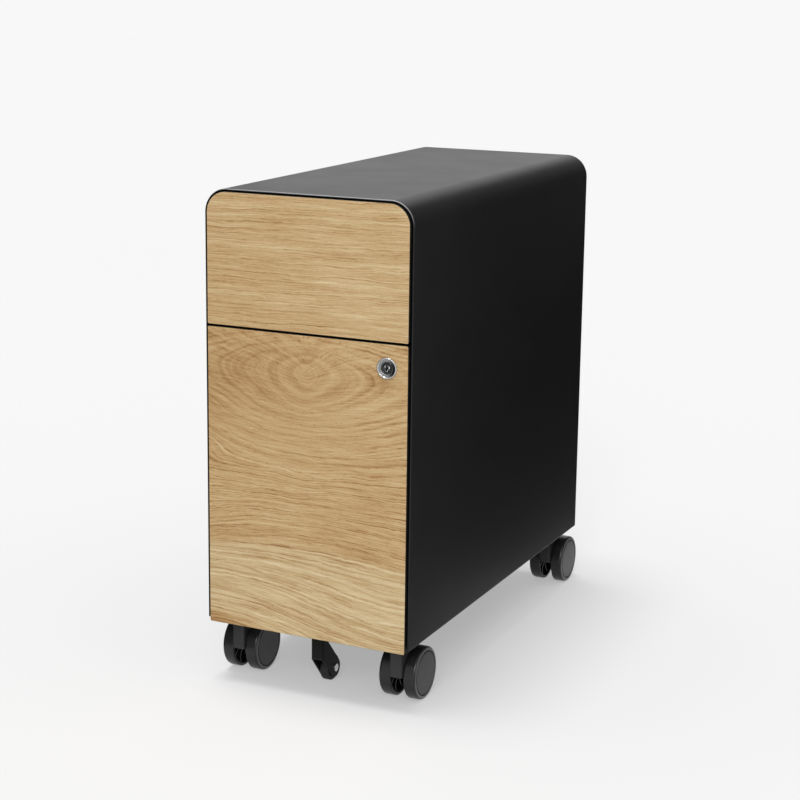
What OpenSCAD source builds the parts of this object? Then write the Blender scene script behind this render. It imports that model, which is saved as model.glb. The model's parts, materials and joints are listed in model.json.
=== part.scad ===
// Slim two-drawer pedestal that rolls under a desk: a folded steel shell on four
// twin-wheel casters, with oak fronts, ball-bearing slides and a fifth wheel under
// the file drawer. Millimetres. X runs across, the fronts face -Y and Z is up.
// The origin is on the floor, at the centre of the whole footprint: that reaches from
// the lock's face to the rear wheels, which trail out behind the back.

/* [Cabinet] */
// Width over the steel shell
cabinet_w = 260.35; // [250:0.05:320]
// Depth from the face of the fronts to the back
cabinet_d = 555; // [520:1:640]
// Height from the floor to the top of the shell
cabinet_h = 586.75; // [575:0.25:680]
// Outer radius of the two top corners
corner_r = 28; // [22:0.5:34]
// Thickness of the shell's steel
shell_t = 1.6; // [1.2:0.1:2]
// Width of the lips folded in under the shell's sides
shell_lip = 8; // [6:0.5:9]
// Radius inside the folds of the sheet steel
fold_r = 1.2; // [0.8:0.1:1.6]
// Thickness of the back panel, uprights and divider rail
sheet_t = 1.2; // [1:0.1:1.5]
// Depth of the back panel's folded rim
back_rim = 12; // [8:0.5:16]
// Thickness of the base pan
pan_t = 1.6; // [1.2:0.1:2]
// Height of the base pan's front and rear lips
pan_lip = 10; // [6:0.5:11]

/* [Uprights] */
// How far an upright stands in from the shell's side
upright_d = 6; // [5:0.1:8]
// Width of an upright
upright_w = 30; // [24:1:36]
// Width of the flanges that an upright is welded by
upright_flange = 8; // [5:0.5:9]
// Pitch of the slots that the slides hook into
hook_pitch = 32; // [25:1:40]

/* [Fronts] */
// Thickness of the veneered fronts
front_t = 18; // [16:0.5:20]
// How far the fronts stand out of the shell
front_proud = 3; // [1:0.5:5]
// Gap between a front and the shell's sides
side_reveal = 2.2; // [1.5:0.1:3]
// Gap between the box drawer's front and the shell's top
top_reveal = 1.6; // [1.2:0.1:3]
// Gap between the two fronts
split_gap = 2.5; // [2:0.1:4]
// Height of the box drawer's front
box_front_h = 152.3; // [140:0.1:165]
// How far the file drawer's front hangs below the shell
front_drop = 2; // [0:0.5:3]
// Small radius on the square corners of the fronts
front_corner_r = 2; // [1:0.5:4]

/* [Drawer boxes] */
// Thickness of the drawer boxes' steel
tray_t = 1; // [0.8:0.1:1.2]
// Height of the box drawer's steel box
box_tray_h = 100; // [80:1:108]
// Distance from the top of the file drawer's front down to the sides of its steel box
file_tray_drop = 80.75; // [70:0.25:95]
// Distance from the top of the file drawer's front down to its inner front wall
file_wall_drop = 50.75; // [43:0.25:60]
// Width of the hems along the tops of the sides
tray_hem = 5; // [3:0.5:8]
// Height of the file drawer's box above the underside of the shell
file_tray_rise = 18; // [16:0.5:20]
// Height of the box drawer's box above the lower edge of its front
box_tray_rise = 12; // [10:0.5:15]
// Space left behind the drawer boxes for the touch latches
latch_room = 62; // [56:1:70]
// Distance between the two bars that the folders hang on
folder_span = 311; // [305:1:330]
// Height of a hanger bar
bar_h = 14; // [10:0.5:18]
// Thickness of a hanger bar
bar_t = 2; // [1.5:0.1:3]
// Distance from the front wall to the first hanger bar
bar_inset = 40; // [20:1:60]

/* [Slides] */
// Thickness of a closed slide
slide_w = 12.7; // [12.4:0.1:13.5]
// Height of a slide
slide_h = 45.7; // [44:0.1:50]
// Thickness of the slides' steel
slide_t = 1.2; // [1:0.1:1.3]
// Space for the balls between two members
ball_space = 3.5; // [3.2:0.1:3.8]
// Clearance between a race lip and the next member
race_gap = 0.6; // [0.4:0.1:0.8]
// Step in which slides are sold
slide_step = 50; // [25:25:50]
// Height of the box drawer's slides above the lower edge of its box
box_slide_rise = 47; // [40:1:60]
// Height of the file drawer's slides above the lower edge of its box
file_slide_rise = 140; // [60:1:200]

/* [Lock] */
// Diameter of the lock's face ring
lock_face_d = 23.5; // [21:0.5:26]
// How far the face ring stands proud of the front
lock_face_t = 2.2; // [1.5:0.1:3]
// Diameter of the threaded lock barrel
lock_barrel_d = 18; // [16.5:0.1:19]
// Diameter of the turning plug
lock_plug_d = 12; // [10:0.1:13]
// Distance from the lock to the side edge of the front
lock_inset = 25.4; // [24:0.1:34]
// Distance from the lock to the top edge of the front
lock_drop = 26.8; // [24:0.1:28]
// Width across the flats of the lock's nut
lock_nut_w = 24; // [22:0.5:26]
// Thickness of the lock's nut
lock_nut_t = 4; // [3:0.5:5]
// Length of the cam from the lock's axis to its tip
cam_l = 31; // [29:0.5:33]
// Width of the cam
cam_w = 12; // [10:0.5:14]
// Thickness of the cam
cam_t = 2; // [1.5:0.1:3]
// Depth of the divider rail
rail_d = 26; // [22:1:32]
// Height of the divider rail
rail_h = 13; // [11:0.5:14]

/* [Touch latches] */
// Diameter of a latch's barrel
latch_d = 12; // [11:0.5:16]
// Diameter of a latch's plunger
plunger_d = 7; // [5:0.5:8]
// Diameter of the rubber-tipped head of a plunger
plunger_head_d = 11; // [9:0.5:14]
// Thickness of a plunger's head
plunger_head_t = 4; // [3:0.5:6]
// How far a closed drawer can push a plunger in
plunger_press = 2.5; // [2:0.1:3]

/* [Casters] */
// Height of a caster from the floor to its mounting face
caster_h = 76.6; // [76:0.1:82]
// Diameter of a caster wheel
wheel_d = 62.5; // [56:0.5:64]
// Width of one wheel's tread
tread_w = 15; // [13:0.5:17]
// Gap between the two wheels of a caster
wheel_gap = 16.6; // [16:0.1:18]
// Distance from the swivel axis to the axle
caster_trail = 21.7; // [18:0.1:24]
// Distance from the shell's side to the swivel axis
caster_side_inset = 26.4; // [26:0.1:40]
// Distance from the face of the fronts to the front swivel axes
caster_front_inset = 38.5; // [38.5:0.1:50]
// Distance from the back to the rear swivel axes
caster_rear_inset = 34.5; // [31:0.1:45]
// Diameter of the swivel stem
stem_d = 10; // [8:0.5:10.5]
// Length of the swivel stem below its plate
stem_l = 28; // [20:0.5:28.5]
// Diameter of the caster axle
axle_d = 6; // [5:0.5:6.5]
// Width of a mounting plate
plate_w = 32; // [31:0.5:32.5]
// Length of a mounting plate
plate_l = 34; // [32:0.5:35]
// Thickness of a mounting plate
plate_t = 2.5; // [2:0.1:3]

/* [Fifth wheel] */
// Diameter of the fifth wheel
fifth_d = 31; // [27:0.5:31]
// Height of the fifth wheel above the floor
fifth_gap = 0.5; // [0.5:0.1:2]
// Width over the fork's two sides
fork_w = 16; // [15:0.5:20]
// Thickness of the fork's steel
fork_t = 2; // [1.5:0.1:2.5]
// Distance from the face of the fronts to the fork's front web
fork_inset = 30; // [26:0.5:34]
// Distance from the web's face back to the wheel's axle
fork_reach = 33.6; // [30:0.5:38]
// Height of the lower end of the fork's web
fork_web_z = 36.8; // [34:0.5:42]
// Height at which the fork's sides end on the web
fork_side_z = 68; // [62:0.5:72]
// Radius of the fork's rounded lower end
fork_end_r = 11.5; // [10:0.5:12]
// Length of the plate that holds the fork to the drawer box
fork_plate_l = 44; // [36:1:52]

/* [Screws] */
// Diameter of the caster screws
caster_screw_d = 4.8; // [4:0.1:5]
// Diameter of the wood screws in the fronts
wood_screw_d = 4; // [3.5:0.1:4.5]
// Length of a wood screw below its head
wood_screw_l = 14; // [10:0.5:15]
// Diameter of the screws in the touch latches and the fork
body_screw_d = 4; // [3.5:0.1:4.5]

/* [Hidden] */
$fn = 64;

// Finishes
black_coat = [0.13, 0.13, 0.135];
grey_plastic = [0.26, 0.26, 0.265];
oak = [0.8, 0.66, 0.46];
zinc = [0.72, 0.73, 0.75];
chrome = [0.85, 0.85, 0.87];
rubber = [0.09, 0.09, 0.09];

// Clearances
run_fit = 0.05;      // a shaft in its bore, on the radius
slip_fit = 0.15;     // a sheet part set into another
turn_gap = 0.5;      // beside and above parts that turn
work_gap = 2;        // between a drawer and what it slides past
touch_gap = 0.3;     // a plunger or cam beside what it works on
screw_spare = 3;     // how far a screw's end stands out of what it holds
past = 1;            // how far a cutter runs past a face

// Places along the depth
rear_overhang = caster_trail + wheel_d / 2 - caster_rear_inset;
front_y = -(cabinet_d + rear_overhang - lock_face_t) / 2;
back_y = front_y + cabinet_d;
shell_y = front_y + front_proud;
front_back_y = front_y + front_t;
mouth_y = front_back_y + work_gap;
back_in_y = back_y - sheet_t;
pan_rear_y = back_y - back_rim - slip_fit;
tray_rear_y = back_in_y - latch_room;
slide_l = floor((tray_rear_y - mouth_y) / slide_step) * slide_step;
upright_y = mouth_y + pan_t + turn_gap;
upright_rear_y = mouth_y + slide_l - upright_w - slide_step / 2;

// Places across the width
half_w = cabinet_w / 2;
inner_x = half_w - shell_t;
slide_x = inner_x - upright_d;
tray_x = slide_x - slide_w;
front_x = inner_x - side_reveal;
caster_x = half_w - caster_side_inset;
pan_x = inner_x - fold_r - slip_fit;

// Heights
base_z = caster_h - shell_t;
pan_top = caster_h + pan_t;
upright_top = cabinet_h - corner_r - work_gap;
file_front_z = base_z - front_drop;
box_front_top = cabinet_h - shell_t - top_reveal;
box_front_z = box_front_top - box_front_h;
file_front_top = box_front_z - split_gap;
file_tray_z = base_z + file_tray_rise;
file_tray_h = file_front_top - file_tray_drop - file_tray_z;
file_wall_h = file_front_top - file_wall_drop - file_tray_z;
box_tray_z = box_front_z + box_tray_rise;
file_slide_z = file_tray_z + file_slide_rise;
box_slide_z = box_tray_z + box_slide_rise;
rail_z = box_tray_z - work_gap - touch_gap - rail_h;

// Lays a drawing of X and Z out along Y
module along_y(y0, y1) {
    translate([0, y1, 0])
        rotate([90, 0, 0])
            linear_extrude(y1 - y0)
                children();
}

// Lays a drawing of Y and Z out along X
module along_x(x0, x1) {
    translate([x0, 0, 0])
        rotate([90, 0, 90])
            linear_extrude(x1 - x0)
                children();
}

// A drawing's flat block between two corners
module block(low, high) {
    translate(low)
        square([high[0] - low[0], high[1] - low[1]]);
}

// A solid block between two corners
module solid_block(low, high) {
    translate(low)
        cube([high[0] - low[0], high[1] - low[1], high[2] - low[2]]);
}

// Rectangle between two corners with round corners
module rounded(low, high, r) {
    block([low[0] + r, low[1]], [high[0] - r, high[1]]);
    block([low[0], low[1] + r], [high[0], high[1] - r]);
    for (x = [low[0] + r, high[0] - r], y = [low[1] + r, high[1] - r])
        translate([x, y])
            circle(r);
}

// Upright rectangle with one radius at its top corners and one at its lower corners
module arch(w, z0, z1, top_r, low_r) {
    block([-w, z0 + low_r], [w, z1 - top_r]);
    block([-w + top_r, z1 - top_r - past], [w - top_r, z1]);
    block([-w + low_r, z0], [w - low_r, z0 + low_r + past]);
    for (s = [-1, 1]) {
        translate([s * (w - top_r), z1 - top_r])
            circle(top_r);
        translate([s * (w - low_r), z0 + low_r])
            circle(low_r);
    }
}

// Section of a folded channel: a closed box section with a slot along one side.
// The slot is given by its own corners.
module channel(low, high, t, slot_low, slot_high) {
    difference() {
        rounded(low, high, fold_r + t);
        rounded([low[0] + t, low[1] + t], [high[0] - t, high[1] - t], fold_r);
        block(slot_low, slot_high);
    }
}

// One round pin or hole along Y, between two depths
module pin_y(x, z, d, y0, y1) {
    translate([x, y1, z])
        rotate([90, 0, 0])
            cylinder(d = d, h = y1 - y0);
}

// The shell's own outline, drawn in by an inset
module shell_outline(inset) {
    arch(half_w - inset, base_z + inset, cabinet_h - inset, corner_r - inset,
         fold_r + shell_t - inset);
}

// One sheet of steel wrapped over the top and down both sides, with a lip folded in
// under each side. The lips stop short of the fronts.
module shell() {
    color(black_coat)
        difference() {
            along_y(shell_y, back_y)
                shell_outline(0);
            along_y(shell_y - past, back_y + past)
                shell_outline(shell_t);
            solid_block([-inner_x + shell_lip, shell_y - past, base_z - past],
                        [inner_x - shell_lip, back_y + past, base_z + shell_t + past]);
            solid_block([-inner_x, shell_y - past, base_z - past],
                        [inner_x, mouth_y, base_z + shell_t + past]);
        }
}

// Pan-shaped back panel welded into the rear of the shell, its rim facing forwards
module back_panel() {
    outer = shell_t + slip_fit;
    color(black_coat)
        difference() {
            along_y(back_y - back_rim, back_y)
                shell_outline(outer);
            along_y(back_y - back_rim - past, back_in_y)
                arch(half_w - outer - sheet_t, base_z + outer + sheet_t,
                     cabinet_h - outer - sheet_t, corner_r - outer - sheet_t, fold_r);
            for (z = [box_latch_z, file_latch_z], s = [-1, 1])
                pin_y(s * latch_screw_x, z, body_screw_d + 2 * run_fit,
                      back_in_y - past, back_y + past);
        }
}

// Screws that hold the two touch latches, driven from behind
module latch_screws() {
    color(black_coat)
        for (z = [box_latch_z, file_latch_z], s = [-1, 1])
            screw_forward(s * latch_screw_x, back_y, z, body_screw_d, latch_base_t + sheet_t);
}

// Button-head screw lying along Y: its head stands behind the face, its shank goes forwards
module screw_forward(x, y, z, d, l) {
    head_r = d * 0.98;
    head_h = d * 0.55;
    crown_r = (head_r * head_r + head_h * head_h) / (2 * head_h);
    translate([x, y, z])
        rotate([90, 0, 0])
            rotate_extrude()
                union() {
                    block([0, 0], [d / 2, l]);
                    intersection() {
                        translate([0, crown_r - head_h])
                            circle(crown_r);
                        block([0, -head_h], [head_r, 0]);
                    }
                }
}

// Floor pan that carries the casters. Its front lip is notched for the fork.
notch_x = fork_w / 2 + work_gap * 2;
module base_pan() {
    lip_y = [mouth_y, pan_rear_y - pan_t];
    color(black_coat)
        difference() {
            union() {
                solid_block([-pan_x, mouth_y, caster_h], [pan_x, pan_rear_y, pan_top]);
                for (y = lip_y)
                    solid_block([-pan_x, y, caster_h], [pan_x, y + pan_t, caster_h + pan_lip]);
            }
            solid_block([-notch_x, mouth_y - past, caster_h - past],
                        [notch_x, fork_axle_y + fork_end_r, caster_h + pan_lip + past]);
            at_caster_screws()
                cylinder(d = caster_screw_d + 2 * slip_fit, h = 3 * pan_t, center = true);
        }
}

// Rail between the drawers. The slot in its lower flange takes the lock's cam, and on the
// left it reaches as far as the cam's tip swings in.
module divider_rail() {
    slot = cam_w / 2 + work_gap;
    rise = rail_z - lock_z;
    swing = cam_l > rise ? sqrt(cam_l * cam_l - rise * rise) : 0;
    slot_left = max(slot, swing + work_gap);
    color(black_coat)
        difference() {
            along_x(-inner_x + slip_fit, inner_x - slip_fit)
                channel([mouth_y, rail_z], [mouth_y + rail_d, rail_z + rail_h], sheet_t,
                        [mouth_y + rail_d - sheet_t - past, rail_z + sheet_t + fold_r],
                        [mouth_y + rail_d + past, rail_z + rail_h - sheet_t - fold_r]);
            solid_block([lock_x - slot_left, cam_y - work_gap, rail_z - past],
                        [lock_x + slot, cam_y + cam_t + work_gap, rail_z + sheet_t + fold_r]);
        }
}

// Slotted upright welded inside the shell: its web faces the drawers
module upright(side, y) {
    slot_h = hook_pitch / 3;
    low_z = pan_top;
    count = floor((upright_top - low_z - hook_pitch) / hook_pitch);
    rail_clear = mouth_y + rail_d + slip_fit - y;
    color(zinc)
        difference() {
            translate([0, 0, low_z])
                linear_extrude(upright_top - low_z)
                    channel([min(side * slide_x, side * inner_x), y],
                            [max(side * slide_x, side * inner_x), y + upright_w], sheet_t,
                            [min(side * (inner_x - sheet_t - past), side * (inner_x + past)),
                             y + upright_flange],
                            [max(side * (inner_x - sheet_t - past), side * (inner_x + past)),
                             y + upright_w - upright_flange]);
            for (i = [1 : count])
                solid_block([min(side * (slide_x - past), side * (slide_x + sheet_t + past)),
                             y + upright_w / 2 - sheet_t, low_z + i * hook_pitch],
                            [max(side * (slide_x - past), side * (slide_x + sheet_t + past)),
                             y + upright_w / 2 + sheet_t, low_z + i * hook_pitch + slot_h]);
            if (rail_clear > 0)
                solid_block([-half_w, y - past, rail_z - slip_fit],
                            [half_w, y + rail_clear, rail_z + rail_h + slip_fit]);
        }
}

// The three members of a slide nest in each other. Each is a folded channel whose lips
// close over the row of balls between it and the next one.
lip_l = ball_space - race_gap;
rail_step = 2.7;
middle_step = 1.8;
middle_u = slide_t + turn_gap + touch_gap;
rail_depth = slide_w - rail_step;
middle_depth = slide_w - middle_step;
drawer_u = middle_u + slide_t + 2 * turn_gap;
middle_h = slide_h - 2 * (slide_t + ball_space);
drawer_h = middle_h - 2 * (slide_t + ball_space);

// Section of one member: from and to are measured from the upright towards the drawer
module slide_member(side, z, from, to, h, open_to_drawer) {
    a = side * (slide_x - from);
    b = side * (slide_x - to);
    mouth_h = h / 2 - slide_t - lip_l;
    cut = open_to_drawer ? [to - slide_t - past, to + past] : [from - past, from + slide_t + past];
    ca = side * (slide_x - cut[0]);
    cb = side * (slide_x - cut[1]);
    color(zinc)
        along_y(mouth_y + touch_gap, mouth_y + slide_l)
            channel([min(a, b), z - h / 2], [max(a, b), z + h / 2], slide_t,
                    [min(ca, cb), z - mouth_h], [max(ca, cb), z + mouth_h]);
}
module slide_rail(side, z) {
    slide_member(side, z, 0, rail_depth, slide_h, true);
}
module slide_middle(side, z) {
    slide_member(side, z, middle_u, middle_depth, middle_h, true);
}
module slide_drawer(side, z) {
    slide_member(side, z, drawer_u, slide_w, drawer_h, false);
}

// Folded steel drawer box with hemmed sides. The front wall can stand higher.
module tray(z, h, wall_h) {
    color(black_coat)
        difference() {
            union() {
                solid_block([-tray_x, front_back_y, z], [tray_x, tray_rear_y, z + h]);
                solid_block([-tray_x, front_back_y, z], [tray_x, front_back_y + tray_t, z + wall_h]);
            }
            solid_block([-tray_x + tray_t, front_back_y + tray_t, z + tray_t],
                        [tray_x - tray_t, tray_rear_y - tray_t, z + h - tray_t]);
            solid_block([-tray_x + tray_hem, front_back_y + tray_t, z + tray_t],
                        [tray_x - tray_hem, tray_rear_y - tray_hem, z + h + past]);
            children();
        }
}

// Places of the wood screws that hold a front to its drawer box
screw_side_in = 30;
screw_low_in = 22;
screw_top_in = 22;
screw_x = tray_x - screw_side_in;
box_screw_z = [box_tray_z + screw_low_in, box_tray_z + box_tray_h - screw_top_in];
file_screw_z = [file_tray_z + screw_low_in, file_tray_z + file_wall_h / 2,
                file_tray_z + file_wall_h - screw_top_in];

// Clearance holes or pilot holes for one drawer's screws
module front_holes(rows, d, y0, y1) {
    for (z = rows, s = [-1, 1])
        pin_y(s * screw_x, z, d, y0, y1);
}
module front_screws(rows) {
    color(zinc)
        for (z = rows, s = [-1, 1])
            screw_forward(s * screw_x, front_back_y + tray_t, z, wood_screw_d, wood_screw_l);
}

module box_drawer_box() {
    tray(box_tray_z, box_tray_h, box_tray_h)
        front_holes(box_screw_z, wood_screw_d + 2 * slip_fit, front_back_y - past,
                    front_back_y + tray_t + past);
}
module file_drawer_box() {
    tray(file_tray_z, file_tray_h, file_wall_h)
        union() {
            front_holes(file_screw_z, wood_screw_d + 2 * slip_fit, front_back_y - past,
                        front_back_y + tray_t + past);
            at_fork_screws()
                cylinder(d = body_screw_d + 2 * slip_fit, h = 4 * tray_t, center = true);
        }
}

// Veneered board. The box drawer's has its top corners rounded to follow the shell.
module board(z0, z1, top_r, rows) {
    color(oak)
        difference() {
            along_y(front_y, front_back_y)
                arch(front_x, z0, z1, top_r, front_corner_r);
            front_holes(rows, wood_screw_d + 2 * run_fit, front_back_y + tray_t - wood_screw_l - past,
                        front_back_y + past);
            children();
        }
}
module box_drawer_front() {
    board(box_front_z, box_front_top, corner_r - shell_t - side_reveal, box_screw_z);
}
module file_drawer_front() {
    board(file_front_z, file_front_top, front_corner_r, file_screw_z)
        pin_y(lock_x, lock_z, lock_barrel_d + 2 * slip_fit, front_y - past, front_back_y + past);
}

// Bar across the file drawer that the folders hook over. Its ends hook on the hems.
bar_end = 3;
module hanger_bar(y) {
    top = file_tray_z + file_tray_h;
    color(zinc)
        union() {
            solid_block([-tray_x + tray_hem + slip_fit, y, top + bar_t - bar_h],
                        [tray_x - tray_hem - slip_fit, y + bar_t, top + bar_t]);
            for (s = [-1, 1])
                solid_block([min(s * (tray_x - tray_t), s * (tray_x - tray_hem - bar_end)),
                             y - bar_end, top],
                            [max(s * (tray_x - tray_t), s * (tray_x - tray_hem - bar_end)),
                             y + bar_t + bar_end, top + bar_t]);
        }
}

// The lock: a chromed housing through the file drawer's front, clamped by a nut,
// with a plug that turns a cam up into the divider rail
lock_x = front_x - lock_inset;
lock_z = file_front_top - lock_drop;
lock_rim = 1.2;
lock_dish = 1.4;
thread_spare = 4;
barrel_end_y = front_back_y + lock_nut_t + thread_spare;
cam_y = barrel_end_y + touch_gap;
plug_face_y = front_y - lock_face_t + lock_dish;
tail_d = lock_plug_d * 2 / 3;
tail_spare = 1.5;
cam_eye_r = cam_w / 2 + 1;

// A turned piece on the lock's axis. The drawing's X is the radius and its Y the distance
// behind the file drawer's face.
module turned_lock() {
    translate([lock_x, front_y, lock_z])
        rotate([-90, 0, 0])
            rotate_extrude()
                children();
}
module lock_housing() {
    face_r = lock_face_d / 2;
    bore_r = lock_plug_d / 2 + run_fit;
    color(chrome)
        turned_lock()
            polygon([[bore_r, -lock_face_t + lock_dish], [face_r - lock_rim - 1, -lock_face_t + 0.3],
                     [face_r - lock_rim, -lock_face_t], [face_r - 0.5, -lock_face_t],
                     [face_r, -lock_face_t + 0.5], [face_r, 0], [lock_barrel_d / 2, 0],
                     [lock_barrel_d / 2, barrel_end_y - front_y], [bore_r, barrel_end_y - front_y]]);
}
module lock_nut() {
    color(zinc)
        difference() {
            translate([lock_x, front_back_y + lock_nut_t, lock_z])
                rotate([90, 0, 0])
                    cylinder(d = lock_nut_w / cos(30), h = lock_nut_t, $fn = 6);
            pin_y(lock_x, lock_z, lock_barrel_d + 2 * run_fit, front_back_y - past,
                  front_back_y + lock_nut_t + past);
        }
}
module lock_plug() {
    slot_w = 1.4;
    slot_h = lock_plug_d * 0.55;
    slot_depth = 3;
    pin_d = 1.8;
    color(zinc)
        difference() {
            union() {
                pin_y(lock_x, lock_z, lock_plug_d, plug_face_y, cam_y);
                pin_y(lock_x, lock_z, tail_d, cam_y - past, cam_y + cam_t + tail_spare);
            }
            solid_block([lock_x - slot_w / 2, plug_face_y - past, lock_z - slot_h / 2],
                        [lock_x + slot_w / 2, plug_face_y + slot_depth, lock_z + slot_h / 2]);
            pin_y(lock_x, lock_z, pin_d * 2, plug_face_y - past, plug_face_y + slot_depth / 2);
        }
}
module lock_cam() {
    color(zinc)
        difference() {
            along_y(cam_y, cam_y + cam_t)
                union() {
                    translate([lock_x, lock_z])
                        circle(cam_eye_r);
                    block([lock_x - cam_l + cam_w / 2, lock_z - cam_w / 2], [lock_x, lock_z + cam_w / 2]);
                    translate([lock_x - cam_l + cam_w / 2, lock_z])
                        circle(cam_w / 2);
                }
            pin_y(lock_x, lock_z, tail_d + 2 * run_fit, cam_y - past, cam_y + cam_t + past);
        }
}

// Touch latches behind the drawers: a barrel on the back panel with a sprung plunger
// whose rubber head meets the drawer box
latch_base_t = 3;
latch_base_r = 3;
latch_base_w = 34;
latch_screw_x = 12;
box_latch_z = box_tray_z + box_tray_h / 2;
file_latch_z = file_tray_z + file_tray_h / 2;
head_y = tray_rear_y + touch_gap;
barrel_y = head_y + plunger_head_t + plunger_press + touch_gap;
plunger_rear_y = back_in_y - latch_base_t - plunger_press - past;
module latch_body(z) {
    color(grey_plastic)
        difference() {
            union() {
                along_y(back_in_y - latch_base_t, back_in_y)
                    rounded([-latch_base_w / 2, z - latch_d], [latch_base_w / 2, z + latch_d],
                            latch_base_r);
                pin_y(0, z, latch_d, barrel_y, back_in_y - past);
            }
            pin_y(0, z, plunger_d + 2 * run_fit, barrel_y - past, back_in_y - latch_base_t);
            for (s = [-1, 1])
                pin_y(s * latch_screw_x, z, body_screw_d + 2 * run_fit,
                      back_in_y - latch_base_t - past, back_in_y + past);
        }
}
module latch_plunger(z) {
    color(rubber)
        union() {
            pin_y(0, z, plunger_d, head_y + past, plunger_rear_y);
            pin_y(0, z, plunger_head_d, head_y, head_y + plunger_head_t);
        }
}

// Fifth wheel: a folded fork under the file drawer's box with a small wheel that stops
// the cabinet tipping when the drawer is out
fork_y = front_y + fork_inset;
fork_axle_y = fork_y + fork_reach;
fork_axle_z = fifth_d / 2 + fifth_gap;
fork_top = file_tray_z;
fork_head_d = 9.2;
fork_head_t = 1.2;
fork_pin_d = 6;
fork_screw_in = 14;
fork_screw_pitch = 20;
fork_screw_y = [fork_y + fork_screw_in, fork_y + fork_screw_in + fork_screw_pitch];

// Touching point of the line from p to the circle of radius r round c, on one side of it
function tangent(p, c, r, side) =
    let (d = norm(c - p), reach = sqrt(d * d - r * r), turn = side * asin(r / d),
         way = (c - p) / d)
    p + reach * [way[0] * cos(turn) - way[1] * sin(turn), way[0] * sin(turn) + way[1] * cos(turn)];

module at_fork_screws() {
    for (y = fork_screw_y)
        translate([0, y, file_tray_z])
            children();
}
module fifth_wheel_fork() {
    axle = [fork_axle_y, fork_axle_z];
    web_end = [fork_y, fork_web_z];
    side_end = [fork_y + fork_t, fork_side_z];
    color(black_coat)
        difference() {
            union() {
                intersection() {
                    linear_extrude(fork_top)
                        channel([-fork_w / 2, fork_y], [fork_w / 2, fork_axle_y + 3 * fork_end_r],
                                fork_t, [-fork_w / 2 - past, fork_axle_y + 2 * fork_end_r],
                                [fork_w / 2 + past, fork_axle_y + 4 * fork_end_r]);
                    along_x(-fork_w, fork_w)
                        union() {
                            polygon([web_end, tangent(web_end, axle, fork_end_r, -1), axle,
                                     tangent(side_end, axle, fork_end_r, 1), side_end,
                                     [fork_y + fork_t, fork_top], [fork_y, fork_top]]);
                            translate(axle)
                                circle(fork_end_r);
                        }
                }
                translate([0, 0, fork_top - fork_t])
                    linear_extrude(fork_t)
                        rounded([-fork_w / 2, fork_y], [fork_w / 2, fork_y + fork_plate_l],
                                fold_r + fork_t);
            }
            translate([-fork_w, fork_axle_y, fork_axle_z])
                rotate([0, 90, 0])
                    cylinder(d = fork_pin_d + 2 * run_fit, h = 2 * fork_w);
            at_fork_screws()
                cylinder(d = body_screw_d + 2 * slip_fit, h = 4 * fork_t, center = true);
        }
}
module fork_screws() {
    head_h = 2.2;
    shank_l = fork_t + tray_t + screw_spare;
    color(zinc)
        at_fork_screws()
            union() {
                translate([0, 0, -fork_t - head_h])
                    cylinder(d = 2 * body_screw_d, h = head_h);
                translate([0, 0, -fork_t - head_h])
                    cylinder(d = body_screw_d, h = shank_l + head_h);
            }
}

// A turned piece on an axis along X. The drawing's X is the radius and its Y runs along X.
module turned_x(x, y, z, side) {
    translate([x, y, z])
        rotate([0, side * 90, 0])
            rotate_extrude()
                children();
}
module fifth_wheel_axle() {
    half = fork_w / 2;
    color(zinc)
        turned_x(0, fork_axle_y, fork_axle_z, 1)
            union() {
                block([0, -half], [fork_pin_d / 2, half]);
                for (s = [-1, 1])
                    block([0, s > 0 ? half : -half - fork_head_t],
                          [fork_head_d / 2, s > 0 ? half + fork_head_t : -half]);
            }
}
module fifth_wheel() {
    half = fork_w / 2 - fork_t - turn_gap;
    r = fifth_d / 2;
    crown = 2;
    groove = 1;
    groove_from = r * 0.55;
    groove_to = r * 0.75;
    color(rubber)
        turned_x(0, fork_axle_y, fork_axle_z, 1)
            difference() {
                rounded([-r, -half], [r, half], crown);
                block([-r - past, -half - past], [fork_pin_d / 2 + run_fit, half + past]);
                for (s = [-1, 1])
                    block([groove_from, s > 0 ? half - groove : -half - past],
                          [groove_to, s > 0 ? half + past : -half + groove]);
            }
}

// Casters. Each one's place is its swivel axis; it trails towards the back.
caster_y = [front_y + caster_front_inset, back_y - caster_rear_inset];
axle_z = wheel_d / 2;
body_top = caster_h - plate_t - turn_gap;
body_rise = 1.75;
body_low = axle_z + body_rise;
body_half = wheel_gap / 2 - turn_gap;
body_nose = 12.5;
body_edge_r = 2.5;
hood_in = 7;
hood_r = wheel_d / 2 - hood_in;
boss_r = 10;
plate_edge_in = 5;
plate_corner_r = 3;
plate_screw_x = plate_w / 2 - plate_edge_in;
plate_screw_y = plate_l / 2 - plate_edge_in;
screw_head_d = caster_screw_d * 1.85;

module at_casters() {
    for (x = [-caster_x, caster_x], y = caster_y)
        translate([x, y, caster_h])
            children();
}
module at_caster_screws() {
    at_casters()
        for (x = [-plate_screw_x, plate_screw_x], y = [-plate_screw_y, plate_screw_y])
            translate([x, y, 0])
                children();
}

// Countersunk screw or its hole: the head's face is at height zero
module countersunk(d, head_d, l) {
    union() {
        cylinder(d = d, h = l);
        cylinder(d1 = head_d, d2 = d, h = (head_d - d) / 2);
    }
}

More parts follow.
